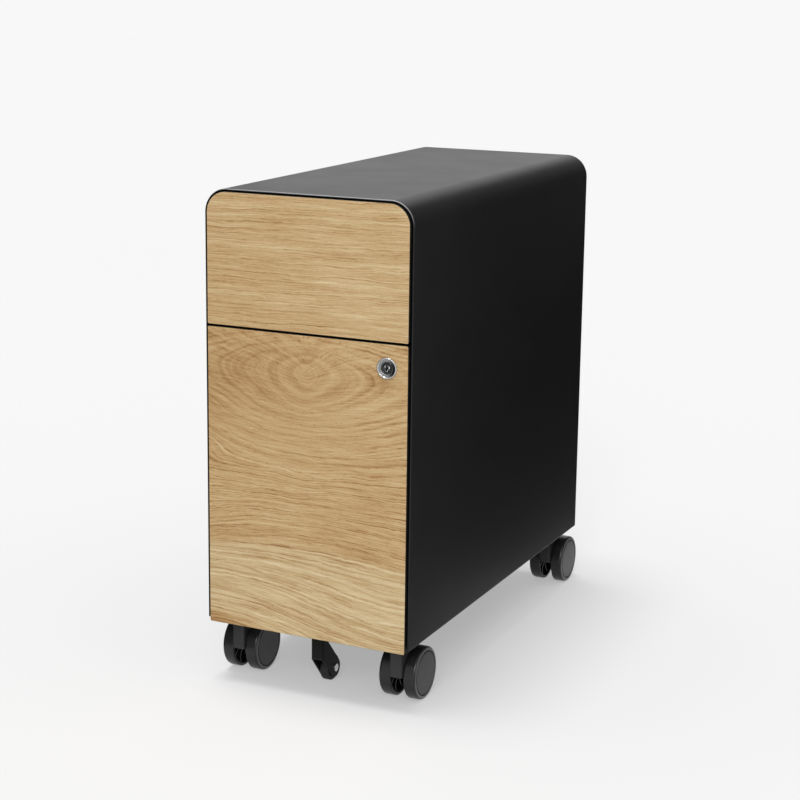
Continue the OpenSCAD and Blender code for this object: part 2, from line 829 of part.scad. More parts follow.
// Steel mounting plates, each with the stem that its caster turns on
module caster_plates() {
    color(zinc)
        difference() {
            at_casters()
                union() {
                    translate([0, 0, -plate_t])
                        linear_extrude(plate_t)
                            rounded([-plate_w / 2, -plate_l / 2], [plate_w / 2, plate_l / 2],
                                    plate_corner_r);
                    translate([0, 0, -plate_t - stem_l])
                        cylinder(d = stem_d, h = stem_l + plate_t / 2);
                }
            at_caster_screws()
                translate([0, 0, -plate_t])
                    countersunk(caster_screw_d + 2 * run_fit, screw_head_d + 2 * run_fit, plate_t + past);
        }
}
module caster_screws() {
    color(zinc)
        at_caster_screws()
            translate([0, 0, -plate_t])
                countersunk(caster_screw_d, screw_head_d, plate_t + pan_t + screw_spare);
}

// Moulded body between the two wheels: a square nose under the stem, a hood over the axle
module caster_body(x, y) {
    axle_y = y + caster_trail;
    rear_y = axle_y + hood_r;
    color(grey_plastic)
        difference() {
            intersection() {
                along_x(x - body_half, x + body_half)
                    union() {
                        block([y - body_nose, body_low], [y + body_nose, body_top]);
                        intersection() {
                            translate([axle_y, axle_z])
                                circle(hood_r);
                            block([y, body_low], [rear_y + past, body_top]);
                        }
                        translate([axle_y, axle_z])
                            circle(boss_r);
                    }
                linear_extrude(caster_h)
                    rounded([x - body_half, y - body_nose], [x + body_half, rear_y + past],
                            body_edge_r);
            }
            translate([x, y, caster_h - plate_t - stem_l - turn_gap])
                cylinder(d = stem_d + 2 * run_fit, h = stem_l + past);
            translate([x - body_half - past, axle_y, axle_z])
                rotate([0, 90, 0])
                    cylinder(d = axle_d + 2 * run_fit, h = 2 * body_half + 2 * past);
        }
}

// Steel pin that both wheels of a caster turn on
axle_end_in = 4.5;
axle_half = wheel_gap / 2 + tread_w - axle_end_in;
module caster_axle(x, y) {
    color(zinc)
        turned_x(x, y + caster_trail, axle_z, 1)
            block([0, -axle_half], [axle_d / 2, axle_half]);
}

// Moulded wheel, open towards the body: a crowned rim, a hub with a blind bore, ribs
// between them, and an outer face with a groove round its flat centre
rib_count = 10;
rib_t = 1.6;
rim_t = 3.6;
face_t = 3;
hub_r = 8;
shoulder_r = 3.2;
groove_in = 5.45;
groove_w = 1.1;
groove_deep = 0.9;
module caster_wheel(x, y, side) {
    r = wheel_d / 2;
    rim_in = r - rim_t;
    groove_r = r - groove_in;
    color(grey_plastic)
        translate([x + side * wheel_gap / 2, y + caster_trail, axle_z])
            rotate([0, side * 90, 0])
                difference() {
                    union() {
                        rotate_extrude()
                            difference() {
                                rounded([-r, -shoulder_r], [r, tread_w], shoulder_r);
                                block([-r - past, -shoulder_r - past], [0, tread_w + past]);
                                block([-past, -shoulder_r - past], [r + past, 0]);
                                block([-past, -past], [rim_in, tread_w - face_t]);
                                block([groove_r - groove_w, tread_w - groove_deep],
                                      [groove_r, tread_w + past]);
                            }
                        rotate_extrude()
                            block([0, 0], [hub_r, tread_w - face_t / 2]);
                        for (i = [0 : rib_count - 1])
                            rotate(i * 360 / rib_count)
                                solid_block([hub_r - past, -rib_t / 2, face_t],
                                            [rim_in + past, rib_t / 2, tread_w - face_t / 2]);
                    }
                    translate([0, 0, -past])
                        cylinder(d = axle_d + 2 * run_fit,
                                 h = axle_half - wheel_gap / 2 + past + touch_gap);
                }
}

shell();
back_panel();
base_pan();
divider_rail();
upright(-1, upright_y);  // upright_front_left
upright(1, upright_y);  // upright_front_right
upright(-1, upright_rear_y);  // upright_rear_left
upright(1, upright_rear_y);  // upright_rear_right
latch_screws();
caster_plates();
caster_screws();
slide_rail(-1, box_slide_z);  // box_slide_rail_left
slide_rail(1, box_slide_z);  // box_slide_rail_right
slide_middle(-1, box_slide_z);  // box_slide_middle_left
slide_middle(1, box_slide_z);  // box_slide_middle_right
slide_drawer(-1, box_slide_z);  // box_slide_drawer_left
slide_drawer(1, box_slide_z);  // box_slide_drawer_right
slide_rail(-1, file_slide_z);  // file_slide_rail_left
slide_rail(1, file_slide_z);  // file_slide_rail_right
slide_middle(-1, file_slide_z);  // file_slide_middle_left
slide_middle(1, file_slide_z);  // file_slide_middle_right
slide_drawer(-1, file_slide_z);  // file_slide_drawer_left
slide_drawer(1, file_slide_z);  // file_slide_drawer_right
box_drawer_box();
box_drawer_front();
front_screws(box_screw_z);  // box_front_screws
file_drawer_box();
file_drawer_front();
front_screws(file_screw_z);  // file_front_screws
hanger_bar(front_back_y + bar_inset);  // hanger_bar_front
hanger_bar(front_back_y + bar_inset + folder_span);  // hanger_bar_rear
lock_housing();
lock_nut();
lock_plug();
lock_cam();
latch_body(box_latch_z);  // box_latch_body
latch_plunger(box_latch_z);  // box_latch_plunger
latch_body(file_latch_z);  // file_latch_body
latch_plunger(file_latch_z);  // file_latch_plunger
fifth_wheel_fork();
fork_screws();
fifth_wheel_axle();
fifth_wheel();
caster_body(-caster_x, caster_y[0]);  // caster_body_front_left
caster_axle(-caster_x, caster_y[0]);  // caster_axle_front_left
caster_wheel(-caster_x, caster_y[0], -1);  // caster_wheel_front_left_outer
caster_wheel(-caster_x, caster_y[0], 1);  // caster_wheel_front_left_inner
caster_body(caster_x, caster_y[0]);  // caster_body_front_right
caster_axle(caster_x, caster_y[0]);  // caster_axle_front_right
caster_wheel(caster_x, caster_y[0], 1);  // caster_wheel_front_right_outer
caster_wheel(caster_x, caster_y[0], -1);  // caster_wheel_front_right_inner
caster_body(-caster_x, caster_y[1]);  // caster_body_rear_left
caster_axle(-caster_x, caster_y[1]);  // caster_axle_rear_left
caster_wheel(-caster_x, caster_y[1], -1);  // caster_wheel_rear_left_outer
caster_wheel(-caster_x, caster_y[1], 1);  // caster_wheel_rear_left_inner
caster_body(caster_x, caster_y[1]);  // caster_body_rear_right
caster_axle(caster_x, caster_y[1]);  // caster_axle_rear_right
caster_wheel(caster_x, caster_y[1], 1);  // caster_wheel_rear_right_outer
caster_wheel(caster_x, caster_y[1], -1);  // caster_wheel_rear_right_inner
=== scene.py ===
import json
import math

import bmesh
import bpy
import numpy as np
from mathutils import Matrix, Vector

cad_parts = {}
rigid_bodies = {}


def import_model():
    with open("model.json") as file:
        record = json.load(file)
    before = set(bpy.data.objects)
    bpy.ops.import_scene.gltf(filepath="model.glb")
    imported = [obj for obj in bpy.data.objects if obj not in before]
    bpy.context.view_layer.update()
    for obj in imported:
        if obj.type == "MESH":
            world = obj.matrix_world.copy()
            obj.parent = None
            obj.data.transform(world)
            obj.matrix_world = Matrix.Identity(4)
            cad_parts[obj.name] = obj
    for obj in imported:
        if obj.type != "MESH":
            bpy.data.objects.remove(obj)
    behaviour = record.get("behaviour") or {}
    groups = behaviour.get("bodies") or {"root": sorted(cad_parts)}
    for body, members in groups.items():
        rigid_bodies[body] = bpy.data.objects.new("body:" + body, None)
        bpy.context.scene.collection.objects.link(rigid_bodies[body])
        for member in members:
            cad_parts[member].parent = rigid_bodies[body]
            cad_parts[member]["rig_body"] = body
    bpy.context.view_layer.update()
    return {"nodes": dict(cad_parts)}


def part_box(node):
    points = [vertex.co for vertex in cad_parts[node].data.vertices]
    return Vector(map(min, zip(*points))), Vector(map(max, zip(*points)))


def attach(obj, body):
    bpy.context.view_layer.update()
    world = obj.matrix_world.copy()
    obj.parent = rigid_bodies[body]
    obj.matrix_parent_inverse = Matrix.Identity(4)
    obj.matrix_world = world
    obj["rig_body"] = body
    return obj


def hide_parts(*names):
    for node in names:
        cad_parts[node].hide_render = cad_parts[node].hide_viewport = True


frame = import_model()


# The shell
# One sheet of 1.6 mm steel, folded over the top and down both sides, with a lip
# turned in under each side. It is cut and bent on a press, then powder coated satin
# black, so its bare edges are softened by the coat.

nodes = frame["nodes"]
MM = 0.001


class Wire:
    """One value in a material. Arithmetic on it adds Math nodes, so a formula is written as it
    is read."""

    def __init__(self, tree, socket):
        self.tree, self.socket = tree, socket

    def _math(self, operation, *values):
        return self.tree.node("Math", {"operation": operation}, values)

    def __add__(self, other):
        return self._math("ADD", self, other)

    def __sub__(self, other):
        return self._math("SUBTRACT", self, other)

    def __rsub__(self, other):
        return self._math("SUBTRACT", other, self)

    def __mul__(self, other):
        return self._math("MULTIPLY", self, other)

    def __truediv__(self, other):
        return self._math("DIVIDE", self, other)

    def __rtruediv__(self, other):
        return self._math("DIVIDE", other, self)

    def __pow__(self, other):
        return self._math("POWER", self, other)

    def __neg__(self):
        return self._math("MULTIPLY", self, -1.0)

    def __abs__(self):
        return self._math("ABSOLUTE", self)

    __radd__ = __add__
    __rmul__ = __mul__

    def of(self, operation, *others):
        """Any other Math operation, such as SQRT, FRACT or EXPONENT."""
        return self._math(operation, self, *others)


class Tree:
    """A node tree. Every node in it is added by one method."""

    def __init__(self, tree):
        self.tree = tree

    def node(self, kind, settings=None, inputs=(), out=0):
        """Adds one shader node: its settings first, then its inputs by number or by name, and
        gives one of its outputs."""
        node = self.tree.nodes.new("ShaderNode" + kind)
        for key, value in (settings or {}).items():
            if key == "stops":
                self._stops(node.color_ramp, value)
            else:
                setattr(node, key, value)
        pairs = inputs.items() if isinstance(inputs, dict) else enumerate(inputs)
        for key, value in pairs:
            if isinstance(value, Wire):
                self.tree.links.new(value.socket, node.inputs[key])
            else:
                node.inputs[key].default_value = value
        return Wire(self, node.outputs[out])

    @staticmethod
    def _stops(ramp, stops):
        while len(ramp.elements) < len(stops):
            ramp.elements.new(0.5)
        for element, (place, colour) in zip(ramp.elements, stops):
            element.position, element.color = place, (*colour, 1)


class Paint(Tree):
    """A procedural material on a Principled shader. Constants go straight onto the shader's
    sockets."""

    def __init__(self, name, **constants):
        self.material = bpy.data.materials.new(name)
        self.material.use_nodes = True
        super().__init__(self.material.node_tree)
        self.shader = self.tree.nodes["Principled BSDF"]
        for socket, value in constants.items():
            self.shader.inputs[socket.replace("_", " ")].default_value = value
        self.where = self.node("TexCoord", out="Object")

    def split(self, vector):
        """The three parts of a vector, as values."""
        return [self.node("SeparateXYZ", None, [vector], out) for out in range(3)]

    def join(self, x, y, z):
        """Three values, as a vector."""
        return self.node("CombineXYZ", None, [x, y, z])

    def noise(self, vector, scale=1.0, detail=2.0, roughness=0.5):
        """Soft noise from 0 to 1 with its middle at 0.5. Its clouds are about 1 / scale across."""
        inputs = {"Vector": vector, "Scale": scale, "Detail": detail, "Roughness": roughness}
        return self.node("TexNoise", None, inputs)

    def ease(self, value, low, high):
        """Rises smoothly from 0 at low to 1 at high."""
        settings = {"interpolation_type": "SMOOTHSTEP", "clamp": True}
        return self.node("MapRange", settings, {0: value, 1: low, 2: high, 3: 0.0, 4: 1.0})

    def hump(self, value, middle, width):
        """1 at the middle and falling away on both sides as a bell does."""
        off = (value - middle) / width
        return (-(off * off)).of("EXPONENT")

    def mark(self, name):
        """A value that the mesh carries at each of its points."""
        return self.node("Attribute", {"attribute_name": name}, (), "Fac")

    def colours(self, value, stops):
        """The colour that a ramp of stops has at a value."""
        return self.node("ValToRGB", {"stops": stops}, [value])

    def mix(self, share, first, second):
        """A colour that goes from first to second as share goes from 0 to 1."""
        first, second = ((*c, 1) if isinstance(c, tuple) else c for c in (first, second))
        return self.node("Mix", {"data_type": "RGBA"}, {0: share, 6: first, 7: second}, 2)

    def bump(self, height, depth):
        """A surface pushed in and out by height times depth, in metres."""
        return self.node("Bump", None, {"Height": height, "Strength": 1.0, "Distance": depth})

    def set(self, **sockets):
        """Links values to the shader's sockets and gives the finished material."""
        for socket, value in sockets.items():
            self.tree.links.new(value.socket, self.shader.inputs[socket.replace("_", " ")])
        return self.material


def srgb(red, green, blue):
    """A colour as a screen shows it, from 0 to 255, as the linear values that a shader takes."""
    parts = np.array([red, green, blue]) / 255
    linear = np.where(parts <= 0.04045, parts / 12.92, ((parts + 0.055) / 1.055) ** 2.4)
    return tuple(float(v) for v in linear)


def shades(tone, below, above):
    """Two linear colours, darker and lighter than a screen tone by the shares given."""
    return srgb(*(v * below for v in tone)), srgb(*(v * above for v in tone))


def powder_coat(name, tone, roughness, peel, shine=0.3, rubbed=None):
    """Baked powder: a fine orange peel 1 to 2 mm across, with faint cloudiness in its gloss.
    Where the mesh is marked with a painted highlight it goes towards that paler tone."""
    paint = Paint(name, Specular_IOR_Level=shine)
    cloud = paint.noise(paint.where, 14.0, 3.0)
    fine = paint.noise(paint.where, 900.0, 2.0, 0.6)
    colour = paint.mix(cloud * 0.6 + fine * 0.4, *shades(tone, 0.9, 1.1))
    if rubbed:
        # A painted highlight: the marked points go towards the paler tone, unevenly with the
        # cloud.
        highlight_mix = paint.mark("rubbed") * (0.7 + 0.6 * cloud)
        colour = paint.mix(highlight_mix, colour, srgb(*rubbed))
    return paint.set(
        Base_Color=colour,
        Roughness=roughness - 0.05 + 0.1 * cloud,
        Normal=paint.bump(fine + 0.5 * paint.noise(paint.where, 350.0, 1.0), peel),
    )


def grid(points, wrap=False):
    """Quads between the neighbours of an array of points, rows by columns. Wrap closes the
    columns round."""
    rows, columns = points.shape[:2]
    index = np.arange(rows * columns).reshape(rows, columns)
    if wrap:
        index = np.hstack([index, index[:, :1]])
    corners = [index[:-1, :-1], index[1:, :-1], index[1:, 1:], index[:-1, 1:]]
    faces = np.stack([c.ravel() for c in corners], 1)
    return points.reshape(-1, 3), [list(map(int, f)) for f in faces]


def lid(points):
    """One flat face over a ring of points."""
    return points, [list(range(len(points)))]


def finished(name, mesh, material, node):
    """Turns a mesh's faces outwards, shades it smooth between edges sharper than 35 degrees, and
    lets it stand for a CAD node, on that node's body."""
    work = bmesh.new()
    work.from_mesh(mesh)
    bmesh.ops.remove_doubles(work, verts=work.verts, dist=1e-6)
    bmesh.ops.dissolve_degenerate(work, edges=work.edges, dist=1e-7)
    bmesh.ops.recalc_face_normals(work, faces=work.faces)
    work.to_mesh(mesh)
    work.free()
    mesh.polygons.foreach_set("use_smooth", [True] * len(mesh.polygons))
    mesh.set_sharp_from_angle(angle=math.radians(35))
    mesh.materials.clear()
    mesh.materials.append(material)
    thing = bpy.data.objects.new(name, mesh)
    bpy.context.scene.collection.objects.link(thing)
    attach(thing, nodes[node]["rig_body"])
    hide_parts(node)
    return thing


def piece(name, parts, material, node):
    """Joins surfaces into one mesh, finishes it, and leans the shading of its small faces towards
    that of the large ones beside them."""
    mesh = bpy.data.meshes.new(name)
    points, faces, count = [], [], 0
    for part_points, part_faces in parts:
        points.append(part_points)
        faces += [[i + count for i in face] for face in part_faces]
        count += len(part_points)
    mesh.from_pydata(np.vstack(points), [], faces)
    thing = finished(name, mesh, material, node)
    thing.modifiers.new("even_shading", "WEIGHTED_NORMAL").keep_sharp = True
    return thing


def softened(node, width, material):
    """A CAD node's own form with its flat faces made whole and its corners rounded off by a
    bevel."""
    mesh = nodes[node].data.copy()
    work = bmesh.new()
    work.from_mesh(mesh)
    bmesh.ops.remove_doubles(work, verts=work.verts, dist=1e-6)
    flat = math.radians(1)
    bmesh.ops.dissolve_limit(work, angle_limit=flat, verts=work.verts, edges=work.edges)
    work.to_mesh(mesh)
    work.free()
    thing = finished("soft_" + node, mesh, material, node)
    bevel = thing.modifiers.new("rounded_corners", "BEVEL")
    bevel.width, bevel.segments, bevel.angle_limit = width, 2, math.radians(40)
    bevel.harden_normals = True


def marked(thing, name, share):
    """Writes one value at each point of a mesh, from a formula of its x, y and z."""
    mesh = thing.data
    spots = np.zeros(len(mesh.vertices) * 3)
    mesh.vertices.foreach_get("co", spots)
    values = share(*spots.reshape(-1, 3).T).astype(np.float32)
    mesh.attributes.new(name, "FLOAT", "POINT").data.foreach_set("value", values)


def arc(centre, radius, start, end, steps):
    """Points on a circle, from one angle to another in degrees, with the way each one faces."""
    turn = np.radians(np.linspace(start, end, steps))
    way = np.stack([np.cos(turn), np.sin(turn)], 1)
    return np.array(centre) + radius * way, way


shell_low, shell_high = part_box("shell")
half_w, shell_top, shell_base = shell_high.x, shell_high.z, shell_low.z
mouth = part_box("base_pan")[0].y
sheet = 1.6 * MM
corner = 28 * MM
fold = 2.8 * MM
lip = 8 * MM
cut_edge = 0.45 * MM
# How far back from the front the painted highlight on the edge reaches.
highlight_band = 0.8 * MM


def shell_route():
    """The sheet's outer face, from the left lip up and over to the right one: straight runs
    joined by quarter circles of the corner's and the fold's radius. Beside each point is the way
    out, and how far forward the sheet reaches there: the lips, with half of their folds, start
    at the mouth."""
    fold_at = np.array([-half_w + fold, shell_base + fold])
    corner_at = np.array([-half_w + corner, shell_top - corner])
    fold_points, fold_ways = arc(fold_at, fold, 270, 180, 7)
    corner_points, corner_ways = arc(corner_at, corner, 180, 90, 25)
    lip_end = np.array([[-half_w + sheet + lip, shell_base]])
    left = np.vstack([lip_end, fold_points, corner_points])
    ways = np.vstack([[[0, -1]], fold_ways, corner_ways])
    fronts = np.full(len(left), shell_low.y)
    lip_points = 1 + (len(fold_points) + 1) // 2
    fronts[:lip_points] = mouth
    flip = np.array([-1, 1])
    return (np.vstack([left, left[::-1] * flip]), np.vstack([ways, ways[::-1] * flip]),
            np.concatenate([fronts, fronts[::-1]]))


def sheet_section(thickness, edge):
    """The sheet cut across: a long rectangle with rounded corners and a line close behind its
    front. It is given as how far in from the outer face, and as a share and an offset along the
    depth, so that one section serves runs of unlike depth."""
    steps = 5
    front_out, _ = arc((edge, edge), edge, 180, 270, steps)
    front_in, _ = arc((thickness - edge, edge), edge, 270, 360, steps)
    back_in, _ = arc((thickness - edge, -edge), edge, 0, 90, steps)
    back_out, _ = arc((edge, -edge), edge, 90, 180, steps)
    behind = 1.5 * MM
    line_in, line_out = [[thickness, behind]], [[0, behind]]
    section = np.vstack([front_out, front_in, line_in, back_in, back_out, line_out])
    share = np.concatenate([np.zeros(2 * steps + 1), np.ones(2 * steps), [0]])
    return section[:, 0], section[:, 1], share


def folded_sheet(route, ways, fronts, rear):
    """A surface of two parameters: along the route, and round the sheet's section. A point lies in
    from the route by the section's inset, and along the depth at its share of the way from the
    sheet's front to its rear, plus its offset."""
    inset, offset, share = sheet_section(sheet, cut_edge)
    flat = route[:, None, :] - ways[:, None, :] * inset[None, :, None]
    depth = fronts[:, None] * (1 - share) + rear * share + offset
    points = np.stack([flat[..., 0], depth, flat[..., 1]], -1)
    return [grid(points, wrap=True), lid(points[0]), lid(points[-1])]


def edge_highlight_share(x, y, z):
    """The share of the painted highlight where light catches the edge: 1 on the outer half of the
    front edge, over the top and the right corner. It fades to 0 down the right side and towards
    the left corner. The way in from the outer face is the corner's radius less the distance
    from its centre line."""
    over = np.maximum(np.abs(x) - (half_w - corner), 0)
    up = np.maximum(z - (shell_top - corner), 0)
    front = (y < shell_low.y + highlight_band) & (corner - np.hypot(over, up) < sheet / 2)
    height = np.clip((z - (shell_top - corner)) / corner, 0, 1)
    across = np.clip((x + half_w - 0.6 * corner) / (0.5 * corner), 0, 1)
    return front * across * height


satin_black = (30, 30, 31)
satin_peel = 0.03 * MM
# The shell's coat has a paler line painted along its front edge, over the top and the right
# corner: a painted highlight.
highlit_coat = powder_coat("highlit_powder_coat", satin_black, 0.42, satin_peel,
                         rubbed=(176, 176, 178))
shell = piece("folded_shell", folded_sheet(*shell_route(), shell_high.y), highlit_coat,
              "shell")
marked(shell, "rubbed", edge_highlight_share)


# The back panel, the base pan and the divider rail
# Sheet steel pressed to shallow pans and a channel, welded into the shell and coated
# with it. The pan carries the casters, and the rail stands between the two drawers.

black_coat = powder_coat("black_powder_coat", satin_black, 0.42, satin_peel)
for name in ("back_panel", "base_pan", "divider_rail"):
    softened(name, 0.3 * MM, black_coat)


# The drawer boxes
# Thin folded steel, welded at the corners and coated in a duller black than the shell.
# The fronts are screwed on from inside.

box_coat = powder_coat("drawer_box_coat", (38, 38, 39), 0.55, 0.06 * MM)
for name in ("box_drawer_box", "file_drawer_box"):
    softened(name, 0.25 * MM, box_coat)


# The slides, hanger bars and uprights
# Cold-rolled steel strip with a zinc plate. The rolls leave fine lines along each
# member, and the plate has a faint blue and yellow cast. The uprights are welded inside
# the shell, and the folders hang on the two bars across the file drawer.

def zinc_plate(name, lines_measure, tones):
    """Fine lines whose marks measure so much along x, y and z, and a cast from slow noise."""
    paint = Paint(name, Metallic=1.0)
    scale = tuple(1 / length for length in lines_measure)
    place = paint.node("Mapping", None, {"Vector": paint.where, "Scale": scale})
    lines = paint.noise(place)
    cast = paint.noise(paint.where, 22.0)
    return paint.set(
        Base_Color=paint.mix(cast, *tones),
        Roughness=0.28 + 0.14 * lines,
        Normal=paint.bump(lines, 0.01 * MM),
    )


line_w, line_run = 0.5 * MM, 80 * MM
dull_plate = ((0.52, 0.54, 0.58), (0.62, 0.60, 0.55))
zinc_strip = zinc_plate("zinc_strip", (line_w, line_run, line_w), dull_plate)
zinc_upright = zinc_plate("zinc_upright", (line_w, line_w, line_run), dull_plate)
for name in nodes:
    if "slide" in name or "hanger" in name:
        softened(name, 0.2 * MM, zinc_strip)
    elif name.startswith("upright"):
        softened(name, 0.25 * MM, zinc_upright)


# The screws and the fifth wheel's pin
# Bought steel fasteners with a bright zinc plate. The two latches' screws are driven
# through the back panel, where they show, so they are coated black with it.

bright_plate = ((0.72, 0.73, 0.75), (0.82, 0.81, 0.79))
zinc_turned = zinc_plate("zinc_turned", (line_w, line_w, line_w), bright_plate)
fastener_finish = {
    "latch_screws": black_coat,
    "caster_screws": zinc_turned,
    "box_front_screws": zinc_turned,
    "file_front_screws": zinc_turned,
    "fork_screws": zinc_turned,
    "fifth_wheel_axle": zinc_turned,
}
for name, finish in fastener_finish.items():
    nodes[name].data.materials.clear()
    nodes[name].data.materials.append(finish)


# The oak fronts
# An 18 mm board faced with oak veneer under a clear matt lacquer. The box drawer's
# veneer is straight in the grain; the file drawer's is cut round a knot, so its rings
# close into an eye. The board's edges are coloured near black.

arris = 0.5 * MM
border = 4 * arris


def board_outline(low, high, top_r, low_r, inset):
    """A front's outline drawn in by an inset, going round: four quarter circles joined by
    straight runs, each cut into 40 equal steps."""
    corners = []
    spots = ((high.x, high.z, top_r, 0, -1, -1), (low.x, high.z, top_r, 90, 1, -1),
             (low.x, low.z, low_r, 180, 1, 1), (high.x, low.z, low_r, 270, -1, 1))
    for x, z, radius, start, inward_x, inward_z in spots:
        centre = (x + inward_x * radius, z + inward_z * radius)
        corners.append(arc(centre, max(radius - inset, 0.05 * MM), start, start + 90, 17)[0])
        if inset > radius:
            corners[-1] += np.array([inward_x, inward_z]) * (inset - radius)
    nexts = corners[1:] + corners[:1]
    runs = [np.linspace(here[-1], after[0], 41)[1:-1] for here, after in zip(corners, nexts)]
    return np.vstack([part for pair in zip(corners, runs) for part in pair])


def board(low, high, top_r, low_r, hole):
    """Rings of the outline: out over the back face, round its arris, along the edge, round the
    front arris and in. A hole, given as x, z and radius, is a ring that looks the same way from
    its middle as the outline's points do."""
    def at_depth(flat, y):
        return np.stack([flat[:, 0], np.full(len(flat), y), flat[:, 1]], 1)

    turn = np.radians(np.linspace(0, 90, 5))
    out, over = arris - arris * np.sin(turn), arris - arris * np.cos(turn)
    rings = [(border, high.y), *zip(out, high.y - over), *zip(over, low.y + out),
             (border, low.y)]
    stack = [at_depth(board_outline(low, high, top_r, low_r, inset), y) for inset, y in rings]
    if hole is not None:
        way = board_outline(low, high, top_r, low_r, border) - hole[:2]
        flat = hole[:2] + hole[2] * way / np.linalg.norm(way, axis=1)[:, None]
        back, front = at_depth(flat, high.y), at_depth(flat, low.y)
        return [grid(np.array([back] + stack + [front, back]), wrap=True)]
    points = np.array(stack)
    return [grid(points, wrap=True), lid(points[0]), lid(points[-1])]


def drift(paint, x, z, long, tall, seed=0.0, detail=2.0):
    """Noise from -0.5 to 0.5 over the front, in clouds long by tall millimetres."""
    return paint.noise(paint.join(x / long, seed, z / tall), detail=detail) - 0.5


def oak(name, figure):
    """Oak in millimetres. Figure gives five things: a phase that counts the lines of growth, the
    height that the fibres keep to, a slow change of tone, how far the wood is of the pale kind,
    and how clearly its lines show. The pores break the lines into dashes."""
    paint = Paint(name, Specular_IOR_Level=0.3)
    x, y, z = (part * 1000.0 for part in paint.split(paint.where))
    sway_x = drift(paint, x, z, 38.0, 22.0, seed=3.0, detail=3.0)
    sway_z = drift(paint, x, z, 46.0, 17.0, seed=9.0, detail=3.0)
    ripple = drift(paint, x, z, 9.0, 3.5, seed=5.0)
    swayed_x, swayed_z = x + 14.0 * sway_x, z + 7.0 * sway_z + 1.6 * ripple
    phase, height, tint, pale_kind, clear = figure(paint, swayed_x, swayed_z)
    fibre_z = z + 0.35 * (height - z) + 2.0 * sway_z

    def growth(count, offset, width):
        """Soft dark lines of late wood, so many to a step of phase. Each ends sharply, and is
        followed by early wood. Their strength varies from line to line."""
        counted = phase * count + offset
        place, which = counted.of("FRACT"), counted.of("FLOOR")
        strength = paint.noise(paint.join(x / 90.0, which * 7.3, 0.0))
        line = paint.ease(place, 1.0 - width, 0.94) * (1.0 - paint.ease(place, 0.95, 1.0))
        return line * paint.ease(strength, 0.30, 0.62), 1.0 - paint.ease(place, 0.0, 0.3)

    def grain(long, deep, up, tall, detail=1.0, roughness=0.5):
        """Noise from 0 to 1 in grains long, deep and tall millimetres."""
        return paint.noise(paint.join(x / long, y / deep, up / tall), 1.0, detail, roughness)

    line, after = growth(1.0, 0.0, 0.30)
    fine_line, _ = growth(2.6, 0.4, 0.6)
    dash = paint.ease(grain(8.0, 1.0, fibre_z, 0.75), 0.36, 0.62)
    fibre = grain(24.0, 4.0, fibre_z, 0.8, 3.0, 0.62) - 0.5
    streak = grain(95.0, 8.0, height, 2.6, 3.0, 0.6) - 0.5
    pores = paint.ease(grain(3.4, 1.0, fibre_z, 0.5), 0.60, 0.76)
    broad = drift(paint, x, z, 120.0, 55.0)
    tone = (0.57 + tint + 0.28 * broad
            - (0.13 + 0.15 * dash) * line * clear
            - 0.22 * fine_line * (0.4 + dash) * clear
            + 0.05 * after * clear
            + (0.45 + 0.35 * clear + 0.5 * pale_kind) * streak
            + 0.9 * fibre
            - 0.22 * pores)
    warm_oak = paint.colours(tone, [
        (0.00, srgb(150, 106, 61)),
        (0.28, srgb(186, 146, 96)),
        (0.50, srgb(206, 171, 121)),
        (0.72, srgb(219, 190, 142)),
        (1.00, srgb(234, 211, 168)),
    ])
    pale_oak = paint.colours(tone, [
        (0.00, srgb(168, 130, 88)),
        (0.30, srgb(197, 165, 119)),
        (0.50, srgb(211, 186, 141)),
        (0.72, srgb(226, 205, 163)),
        (1.00, srgb(239, 222, 186)),
    ])
    veneer = paint.mix(0.6 * pale_kind, warm_oak, pale_oak)
    # The board's sides are coloured near black.
    edging = paint.ease(paint.mark("edging"), 0.15, 0.35)
    return paint.set(
        Base_Color=paint.mix(edging, veneer, srgb(24, 24, 24)),
        Roughness=0.52 + 0.12 * pores - 0.10 * streak,
        Normal=paint.bump(0.3 * fibre - pores - 0.3 * line, 0.05 * MM),
    )


def straight_figure(paint, x, z):
    """Nearly level lines about 7 mm apart with a slow wave, and light streaks where the cut runs
    shallow. Each streak is a share of the width, a height and how tall it is."""
    wave = drift(paint, x, z, 130.0, 60.0, detail=1.0)
    height = z + 7.0 * wave - 0.012 * x
    left, right = 1.0 - paint.ease(x, -60.0, 30.0), paint.ease(x, -30.0, 50.0)
    streaks = ((1.0, 573.0, 1.6), (1.0, 560.0, 1.8), (left, 525.0, 2.2),
               (right, 515.0, 1.8), (right, 490.0, 1.6), (left, 473.0, 4.0))
    light = sum(share * paint.hump(height, at, tall) for share, at, tall in streaks)
    return height / 7.0, height, 0.16 * light + 0.0003 * x + 0.05, 0.0, 1.0


eye_x, eye_z = 0.5, 386.0
half_front = 127.0
ring_area = 1760.0
field_line = 9.0
field_at = 190.0


